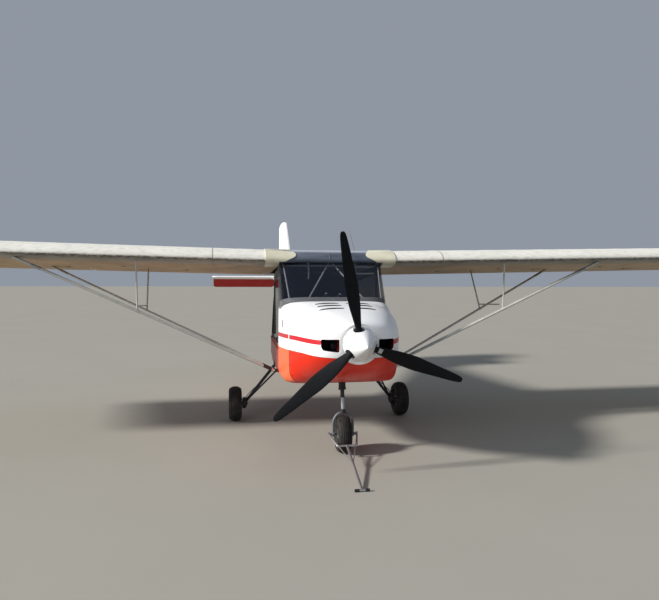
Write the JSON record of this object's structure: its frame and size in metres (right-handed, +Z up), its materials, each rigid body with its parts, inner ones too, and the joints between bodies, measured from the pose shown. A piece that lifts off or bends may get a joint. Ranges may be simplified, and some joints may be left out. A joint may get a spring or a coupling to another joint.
{
  "type": "light aircraft",
  "caption": "Light high-wing aircraft on a nose-wheel undercarriage, with strut-braced wings, lifting cabin doors, hinged control surfaces and a tow bar.",
  "frame": {"origin": "on the ground at the middle of the footprint", "axes": "+Z up, nose towards -Y, port wing towards +X"},
  "size_m": [10.5052, 6.2284, 2.406],
  "materials": {
    "white_paint": "gloss",
    "red_paint": "gloss",
    "deep_red_fabric": "satin",
    "wing_fabric": "satin",
    "tail_fabric": "satin",
    "cream_cap": "satin",
    "clear_sheet": "gloss",
    "smoked_sheet": "gloss",
    "black_composite": "satin",
    "tyre_rubber": "matte",
    "bare_alloy": "satin",
    "dark_steel": "satin",
    "engine_metal": "satin",
    "panel_grey": "matte",
    "seat_fabric": "matte"
  },
  "bodies": {
    "airframe": {"cabin_body": "red_paint", "cabin_frame": "bare_alloy", "upper_cowl": "white_paint", "lower_cowl": "red_paint", "windscreen": "clear_sheet", "centre_section": "smoked_sheet", "instrument_panel": "panel_grey", "control_stick": "panel_grey", "seat_port": "seat_fabric", "seat_starboard": "seat_fabric", "engine_block": "engine_metal", "rear_fuselage": "tail_fabric", "tailplane": "tail_fabric", "fin": "tail_fabric", "wing_port": "wing_fabric", "wing_starboard": "wing_fabric", "root_fairing_port": "cream_cap", "root_fairing_starboard": "cream_cap", "fuel_cap_port": "panel_grey", "fuel_cap_starboard": "panel_grey", "whip_antenna": "panel_grey", "front_lift_strut_port": "bare_alloy", "rear_lift_strut_port": "bare_alloy", "front_lift_strut_starboard": "bare_alloy", "rear_lift_strut_starboard": "bare_alloy", "jury_struts_port": "bare_alloy", "jury_struts_starboard": "bare_alloy", "main_leg_port": "dark_steel", "main_leg_starboard": "dark_steel", "nose_leg_collar": "dark_steel"},
    "propeller": {"propeller_hub": "dark_steel", "spinner": "white_paint", "propeller_blade_1": "black_composite", "propeller_blade_2": "black_composite", "propeller_blade_3": "black_composite"},
    "door_port": {"door_port": "red_paint", "door_glass_port": "clear_sheet"},
    "door_starboard": {"door_starboard": "red_paint", "door_glass_starboard": "clear_sheet"},
    "flap_port": {"flap_port": "wing_fabric"},
    "flap_starboard": {"flap_starboard": "wing_fabric"},
    "aileron_port": {"aileron_port": "wing_fabric"},
    "aileron_starboard": {"aileron_starboard": "wing_fabric"},
    "elevator": {"elevator": "deep_red_fabric"},
    "rudder": {"rudder": "tail_fabric"},
    "nose_leg": {"nose_fork": "dark_steel"},
    "nose_wheel": {"nose_tyre": "tyre_rubber", "nose_rim": "bare_alloy"},
    "tow_bar": {"tow_bar": "bare_alloy"},
    "main_wheel_port": {"main_tyre_port": "tyre_rubber", "main_rim_port": "bare_alloy"},
    "main_wheel_starboard": {"main_tyre_starboard": "tyre_rubber", "main_rim_starboard": "bare_alloy"}
  },
  "joints": [
    {"name": "propeller_spin", "type": "hinge", "parent": "airframe", "child": "propeller", "pos_m": [0, -2.82221, 1.031], "axis": [0, -1, 0], "continuous": true},
    {"name": "door_port_lift", "type": "hinge", "parent": "airframe", "child": "door_port", "pos_m": [0.50084, -1.43121, 1.608], "axis": [0.0405, -0.993, 0.1114], "range_deg": [0, 78]},
    {"name": "door_starboard_lift", "type": "hinge", "parent": "airframe", "child": "door_starboard", "pos_m": [-0.50084, -1.43121, 1.608], "axis": [0.0405, 0.993, -0.1114], "range_deg": [0, 78]},
    {"name": "flap_port_lower", "type": "hinge", "parent": "airframe", "child": "flap_port", "pos_m": [0.5781, -0.4794, 1.60355], "axis": [-0.9998, 0, -0.0216], "range_deg": [0, 35]},
    {"name": "flap_starboard_lower", "type": "hinge", "parent": "airframe", "child": "flap_starboard", "pos_m": [-0.5781, -0.4794, 1.60355], "axis": [-0.9998, 0, 0.0216], "range_deg": [0, 35]},
    {"name": "aileron_port_lower", "type": "hinge", "parent": "airframe", "child": "aileron_port", "pos_m": [2.42767, -0.4794, 1.64343], "axis": [-0.9998, 0, -0.0216], "range_deg": [-20, 20]},
    {"name": "aileron_starboard_lower", "type": "hinge", "parent": "airframe", "child": "aileron_starboard", "pos_m": [-2.42767, -0.4794, 1.64343], "axis": [-0.9998, 0, 0.0216], "range_deg": [-20, 20]},
    {"name": "elevator_raise", "type": "hinge", "parent": "airframe", "child": "elevator", "pos_m": [0, 2.48279, 1.497], "axis": [1, 0, 0], "range_deg": [0, 52]},
    {"name": "rudder_turn", "type": "hinge", "parent": "airframe", "child": "rudder", "pos_m": [0, 2.70779, 1.4], "axis": [0, 0, 1], "range_deg": [-34, 16]},
    {"name": "nose_leg_steer", "type": "hinge", "parent": "airframe", "child": "nose_leg", "pos_m": [0, -2.08921, 0.603], "axis": [0, 0.1977, 0.9803], "range_deg": [-20, 20]},
    {"name": "nose_wheel_spin", "type": "hinge", "parent": "nose_leg", "child": "nose_wheel", "pos_m": [0, -2.14321, 0.164], "axis": [1, 0, 0], "continuous": true},
    {"name": "tow_bar_lift", "type": "hinge", "parent": "nose_leg", "child": "tow_bar", "pos_m": [0, -2.14321, 0.164], "axis": [-1, 0, 0], "range_deg": [0, 8]},
    {"name": "main_wheel_port_spin", "type": "hinge", "parent": "airframe", "child": "main_wheel_port", "pos_m": [0.904, -0.84521, 0.182], "axis": [1, 0, 0], "continuous": true},
    {"name": "main_wheel_starboard_spin", "type": "hinge", "parent": "airframe", "child": "main_wheel_starboard", "pos_m": [-0.904, -0.84521, 0.182], "axis": [1, 0, 0], "continuous": true}
  ],
  "couplings": [
    {"joint": "aileron_starboard_lower", "follows": "aileron_port_lower", "ratio": -1},
    {"joint": "flap_starboard_lower", "follows": "flap_port_lower", "ratio": 1}
  ]
}
